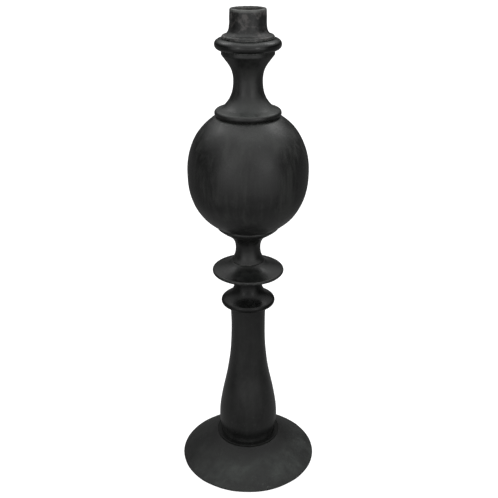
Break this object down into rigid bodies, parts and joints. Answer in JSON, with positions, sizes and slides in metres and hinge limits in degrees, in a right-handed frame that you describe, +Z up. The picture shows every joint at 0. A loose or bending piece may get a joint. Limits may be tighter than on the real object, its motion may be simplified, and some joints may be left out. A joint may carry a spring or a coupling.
{
  "type": "bollard light",
  "caption": "Cast bollard light column: conical base, bulbous shaft, thumb ring, saucer, tall ball and waisted neck under a torus capital with an open post-top spigot.",
  "frame": {"origin": "centre of the foot on the ground, under the ground pad", "axes": "+Z up along the column's axis; the supply cable enters at -X and the terminal block is towards +Y"},
  "size_m": [0.324, 0.324, 1.08],
  "materials": {
    "black_painted_iron": "satin",
    "black_rubber": "matte",
    "zinc_plated_steel": "satin",
    "brass": "satin",
    "white_porcelain": "gloss",
    "black_plastic": "matte",
    "grey_cable_sheath": "matte",
    "earth_green_sheath": "satin"
  },
  "bodies": {
    "root": {"base_casting": "black_painted_iron", "column_casting": "black_painted_iron", "thumb_ring_casting": "black_painted_iron", "saucer_casting": "black_painted_iron", "lower_neck_casting": "black_painted_iron", "ball_casting": "black_painted_iron", "upper_neck_casting": "black_painted_iron", "capital_casting": "black_painted_iron", "post_top_casting": "black_painted_iron", "column_foot_seal": "black_rubber", "thumb_ring_seal": "black_rubber", "saucer_seal": "black_rubber", "lower_neck_seal": "black_rubber", "ball_foot_seal": "black_rubber", "ball_head_seal": "black_rubber", "capital_seal": "black_rubber", "post_top_seal": "black_rubber", "tie_tube": "zinc_plated_steel", "bottom_clamp_plate": "zinc_plated_steel", "bottom_spring_washer": "zinc_plated_steel", "bottom_locknut": "zinc_plated_steel", "top_spreader_plate": "zinc_plated_steel", "top_washer": "zinc_plated_steel", "top_locknut": "zinc_plated_steel", "lampholder_cap": "brass", "lampholder_body": "white_porcelain", "lampholder_screw_shell": "brass", "lampholder_contact": "brass", "base_plate": "zinc_plated_steel", "plate_screw_1": "zinc_plated_steel", "plate_screw_2": "zinc_plated_steel", "plate_screw_3": "zinc_plated_steel", "plate_screw_4": "zinc_plated_steel", "ground_pad": "black_rubber", "terminal_block": "black_plastic", "terminal_screw_1": "brass", "terminal_screw_2": "brass", "terminal_screw_3": "brass", "earth_stud": "brass", "earth_tag": "brass", "earth_nut": "brass", "earth_lead": "earth_green_sheath", "cable_grommet": "black_rubber", "supply_cable": "grey_cable_sheath", "lamp_cable": "grey_cable_sheath"}
  },
  "joints": []
}
